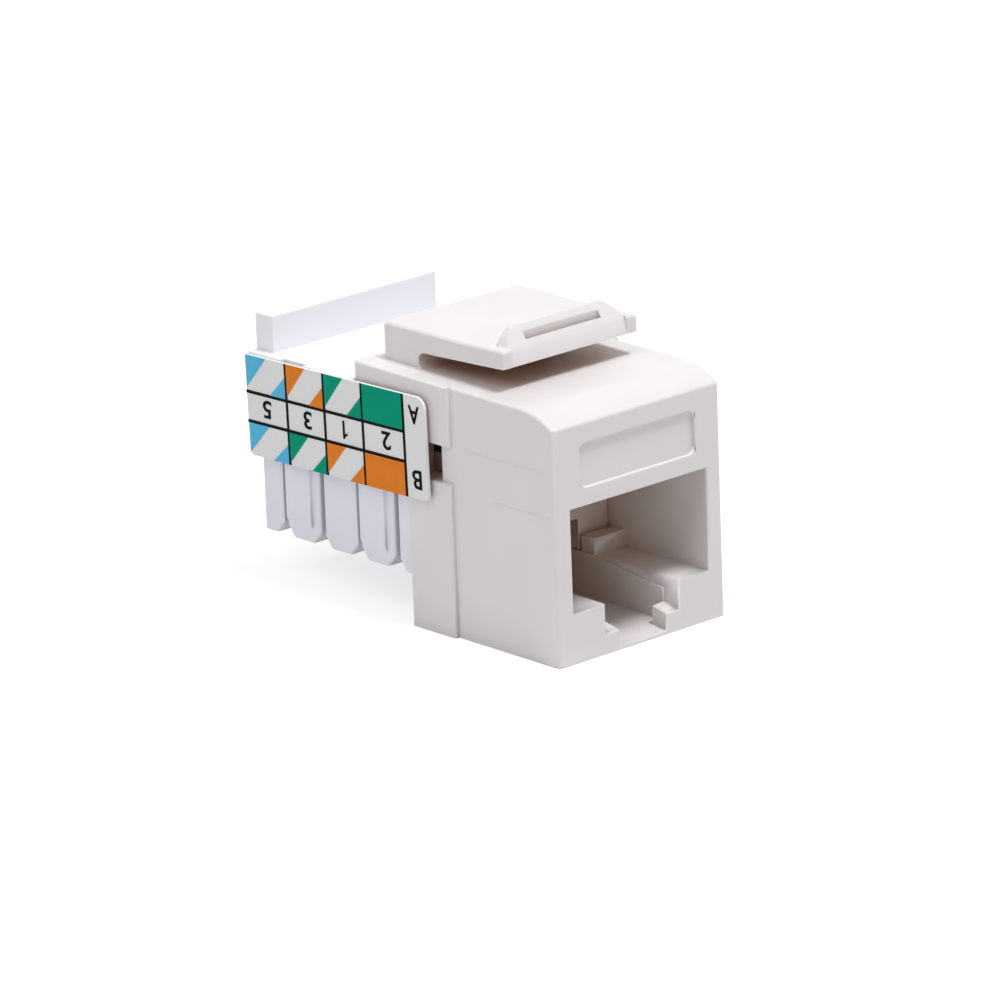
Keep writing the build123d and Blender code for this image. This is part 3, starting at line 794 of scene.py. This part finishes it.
def sweep_wire(path, x):
    """Rings of a flattened wire along a path in the side view, with its faces."""
    corner = wire_edge_round
    wide = wire_width / 2
    thick = wire_thickness / 2
    section = [(-wide, corner - thick), (corner - wide, -thick),
               (wide - corner, -thick), (wide, corner - thick),
               (wide, thick - corner), (wide - corner, thick),
               (corner - wide, thick), (-wide, thick - corner)]
    points = []
    for i, point in enumerate(path):
        along = (path[min(i + 1, len(path) - 1)] - path[max(i - 1, 0)]).normalized()
        for across, out in section:
            points.append((x + across, point.x - along.y * out, point.y + along.x * out))
    return points, tube_faces(len(path), len(section), 0)


print("wire section mm:", round(wire_width / MM, 2), round(wire_thickness / MM, 2))

# %% [markdown]
# Each contact comes down from the board, runs forward below the carrier, turns round and slopes
# back as a spring. The solids split it at the bend, because a joint needs two bodies. Here each
# wire is swept in one piece round the bend. The tails never move, so they are one mesh.

# %% Contact wires
contact_pitch = 1.016 * MM
run_z = 10.6 * MM
bend_y = 2.5 * MM
split_y = 3.4 * MM
bend_radius = 0.45 * MM
pin_front_y = 8.2 * MM
pin_row_step = 2.0 * MM
pin_top_z = 13.5 * MM
spring_top_z = 9.65 * MM
spring_low = (8.6 * MM, 7.31 * MM)
spring_tip = (9.8 * MM, 7.41 * MM)

tail_points, tail_faces = [], []
for number in range(1, contact_count + 1):
    finger = "contact_finger_" + str(number)
    x = (number - (contact_count + 1) / 2) * contact_pitch
    pin_y = pin_front_y + pin_row_step * (number % 2)
    tail = rounded_path([(pin_y, pin_top_z), (pin_y, run_z), (split_y, run_z)], bend_radius)
    points, faces = sweep_wire(tail, x)
    first = len(tail_points)
    tail_points += points
    tail_faces += [tuple(first + i for i in face) for face in faces]
    spring = [(split_y, run_z), (bend_y, run_z), (bend_y, spring_top_z), spring_low, spring_tip]
    points, faces = sweep_wire(rounded_path(spring, bend_radius), x)
    wire = solid_from("contact_wire_" + str(number), points, faces, contact_gold)
    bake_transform(wire)
    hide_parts(finger)
tails = solid_from("contact_tails", tail_points, tail_faces, contact_gold)
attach(tails, "root")
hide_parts("contact_leads")
print("wires:", contact_count, "points in one:", len(points))

# %% [markdown]
# The panel latch is a tongue that bends at its root, where the real part is one piece with the
# housing. The solids again need a cut there, and a stiff latch would open a crack at it. So the
# visible latch is the solid's own shape, cut short of the root and drawn back over the pedestal
# as a thin cap, with extra rings where it bends.

# %% Latch skin
cut_y = 12.9 * MM
cap_rear_y = 17.582 * MM
edge_round = 0.26 * MM
round_steps = 4
proud = 0.004 * MM
first_ring_y = 13.1 * MM
ring_step = 0.15 * MM
bend_rings = 9
ridge_zone = ((-5.06, 6, 19.7), (5.06, 7.8, 22))
ridge_radius = 0.06 * MM


def latch_skin():
    """Latch with its cap over the pedestal, as one mesh."""
    work = mesh_of("panel_latch")
    everything = work.verts[:] + work.edges[:] + work.faces[:]
    bmesh.ops.bisect_plane(
        work, geom=everything, plane_co=(0, cut_y, 0), plane_no=(0, 1, 0), clear_outer=True
    )
    merge_flats(work)
    rim = [edge for edge in work.edges if edge.is_boundary]
    ring = {vert for edge in rim for vert in edge.verts}
    low = min(vert.co.z for vert in ring)
    top = max(vert.co.z for vert in ring)
    half = max(vert.co.x for vert in ring)
    for vert in ring:
        vert.co.x *= 1 + proud / half
        vert.co.z += proud * (vert.co.z - low) / (top - low)
    stations = [(first_ring_y + ring_step * step, top + proud) for step in range(bend_rings)]
    for step in range(round_steps + 1):
        angle = math.radians(90 * step / round_steps)
        y = cap_rear_y - edge_round * (1 - math.sin(angle))
        stations.append((y, top + proud - edge_round * (1 - math.cos(angle))))
    for y, height in stations:
        made = bmesh.ops.extrude_edge_only(work, edges=rim)["geom"]
        rim = [item for item in made if isinstance(item, bmesh.types.BMEdge) and item.is_boundary]
        for vert in made:
            if isinstance(vert, bmesh.types.BMVert):
                vert.co.y = y
                vert.co.z = min(vert.co.z, height)
    bmesh.ops.contextual_create(work, geom=rim)
    bmesh.ops.recalc_face_normals(work, faces=work.faces)
    return bevelled("latch_skin", work, warm_plastic, ridge_radius, ridge_zone, segments=2)


latch = latch_skin()
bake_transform(latch)
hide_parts("panel_latch")
print("latch skin faces:", len(latch.data.polygons))
